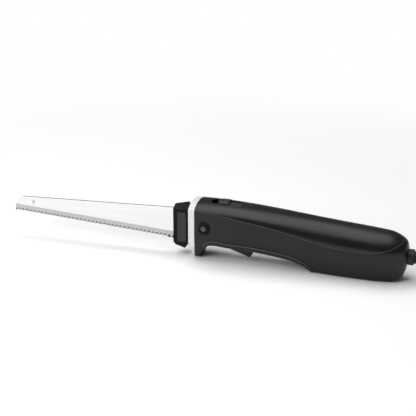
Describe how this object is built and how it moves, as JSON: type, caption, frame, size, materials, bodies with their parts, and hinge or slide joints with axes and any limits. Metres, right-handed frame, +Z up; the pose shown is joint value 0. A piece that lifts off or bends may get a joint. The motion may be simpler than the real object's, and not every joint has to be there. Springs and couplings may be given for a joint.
{
  "type": "electric carving knife",
  "caption": "Corded handheld carving knife with paired serrated blades, a trigger under a hand arch, a top lock slider and side release buttons.",
  "frame": {"origin": "on the surface the knife rests on, in the middle of its width, in the plane where the silver band meets the handle", "axes": "+X runs along the handle to the cord, +Z up, left side is -Y"},
  "size_m": [0.6332, 0.0852, 0.0668],
  "materials": {
    "upper_cover": "satin black moulding",
    "black_housing": "fine matte black moulding",
    "silver_band": "satin silver coating",
    "lock": "satin black moulding",
    "black_controls": "satin black moulding",
    "blade_steel": "polished, with a ground edge band",
    "hub": "matte black moulding",
    "steel": "plain",
    "arm_plastic": "natural moulding",
    "gear_plastic": "natural moulding",
    "frame_metal": "die-cast",
    "bronze": "sintered bronze",
    "lamination": "laminated steel",
    "copper": "enamelled copper",
    "grey_plastic": "moulding",
    "bracket_metal": "pressed metal",
    "brass": "plain",
    "carbon": "carbon",
    "switch_case": "moulding",
    "relief_rubber": "matte black",
    "cord": "matte black"
  },
  "bodies": {
    "housing": {"upper_housing": "upper_cover", "lower_housing": "black_housing", "nose_plate": "black_housing", "button_retainers": "black_housing", "cord_clamp": "black_housing", "cord_tie": "black_housing", "nose_band": "silver_band", "housing_screws": "steel", "clamp_screws": "steel", "motor_screws": "steel", "trigger_pin": "steel", "gear_axle": "steel", "left_release_spring": "steel", "right_release_spring": "steel", "trigger_spring": "steel", "brush_springs": "steel", "slide_guide": "arm_plastic", "gear_frame": "frame_metal", "thrust_bush": "bronze", "front_bearing": "bronze", "rear_bearing": "bronze", "field_stack": "lamination", "field_coils": "copper", "front_motor_bracket": "bracket_metal", "rear_motor_bracket": "bracket_metal", "brush_holders": "brass", "plug_pins": "brass", "carbon_brushes": "carbon", "power_switch": "switch_case", "strain_relief": "relief_rubber", "plug_body": "relief_rubber", "inner_lead": "cord", "power_cord": "cord", "cord_coil": "cord", "plug_lead": "cord"},
    "armature": {"motor_shaft": "steel", "worm": "steel", "armature_core": "lamination", "armature_windings": "copper", "commutator": "copper", "cooling_fan": "grey_plastic"},
    "gear": {"drive_gear": "gear_plastic", "crank_pins": "steel"},
    "left_arm": {"left_drive_arm": "arm_plastic", "left_latch_spring": "steel"},
    "right_arm": {"right_drive_arm": "arm_plastic", "right_latch_spring": "steel"},
    "left_blade_body": {"left_blade": "blade_steel", "left_blade_hub": "hub", "blade_rivet": "steel"},
    "right_blade_body": {"right_blade": "blade_steel", "right_blade_hub": "hub"},
    "trigger_body": {"trigger": "black_controls"},
    "plunger_body": {"switch_plunger": "grey_plastic"},
    "lock_body": {"lock_button": "lock"},
    "left_button_body": {"left_release_button": "black_controls"},
    "right_button_body": {"right_release_button": "black_controls"}
  },
  "joints": [
    {"name": "armature_spin", "type": "hinge", "parent": "housing", "child": "armature", "pos_m": [0, 0, 0.0325], "axis": [1, 0, 0], "continuous": true},
    {"name": "drive_gear_spin", "type": "hinge", "parent": "housing", "child": "gear", "pos_m": [0.055, 0, 0.046], "axis": [0, 1, 0], "continuous": true},
    {"name": "left_arm_stroke", "type": "slide", "parent": "housing", "child": "left_arm", "axis": [1, 0, 0], "range_m": [-0.004, 0.004]},
    {"name": "right_arm_stroke", "type": "slide", "parent": "housing", "child": "right_arm", "axis": [1, 0, 0], "range_m": [-0.004, 0.004]},
    {"name": "left_blade_pull", "type": "slide", "parent": "left_arm", "child": "left_blade_body", "axis": [-1, 0, 0], "range_m": [0, 0.055]},
    {"name": "right_blade_pull", "type": "slide", "parent": "right_arm", "child": "right_blade_body", "axis": [-1, 0, 0], "range_m": [0, 0.055]},
    {"name": "trigger_press", "type": "hinge", "parent": "housing", "child": "trigger_body", "pos_m": [0.028, 0, 0.024], "axis": [0, -1, 0], "range_deg": [0, 10], "stiffness_Nm_per_rad": 0.3, "springref_deg": -8.59, "deforming": ["trigger_spring"]},
    {"name": "switch_plunger_slide", "type": "slide", "parent": "housing", "child": "plunger_body", "axis": [0, 0, 1], "range_m": [0, 0.0046]},
    {"name": "lock_slide", "type": "slide", "parent": "housing", "child": "lock_body", "axis": [-1, 0, 0], "range_m": [0, 0.007]},
    {"name": "left_release_press", "type": "slide", "parent": "housing", "child": "left_button_body", "axis": [0, 1, 0], "range_m": [0, 0.0025], "stiffness_N_per_m": 500, "springref_m": -0.001, "deforming": ["left_release_spring"]},
    {"name": "right_release_press", "type": "slide", "parent": "housing", "child": "right_button_body", "axis": [0, -1, 0], "range_m": [0, 0.0025], "stiffness_N_per_m": 500, "springref_m": -0.001, "deforming": ["right_release_spring"]}
  ],
  "couplings": [
    {"joint": "drive_gear_spin", "follows": "armature_spin", "ratio": 0.1},
    {"joint": "right_arm_stroke", "follows": "left_arm_stroke", "ratio": -1},
    {"joint": "right_blade_pull", "follows": "left_blade_pull", "ratio": 1},
    {"joint": "switch_plunger_slide", "follows": "trigger_press", "m_per_rad": 0.0255}
  ]
}
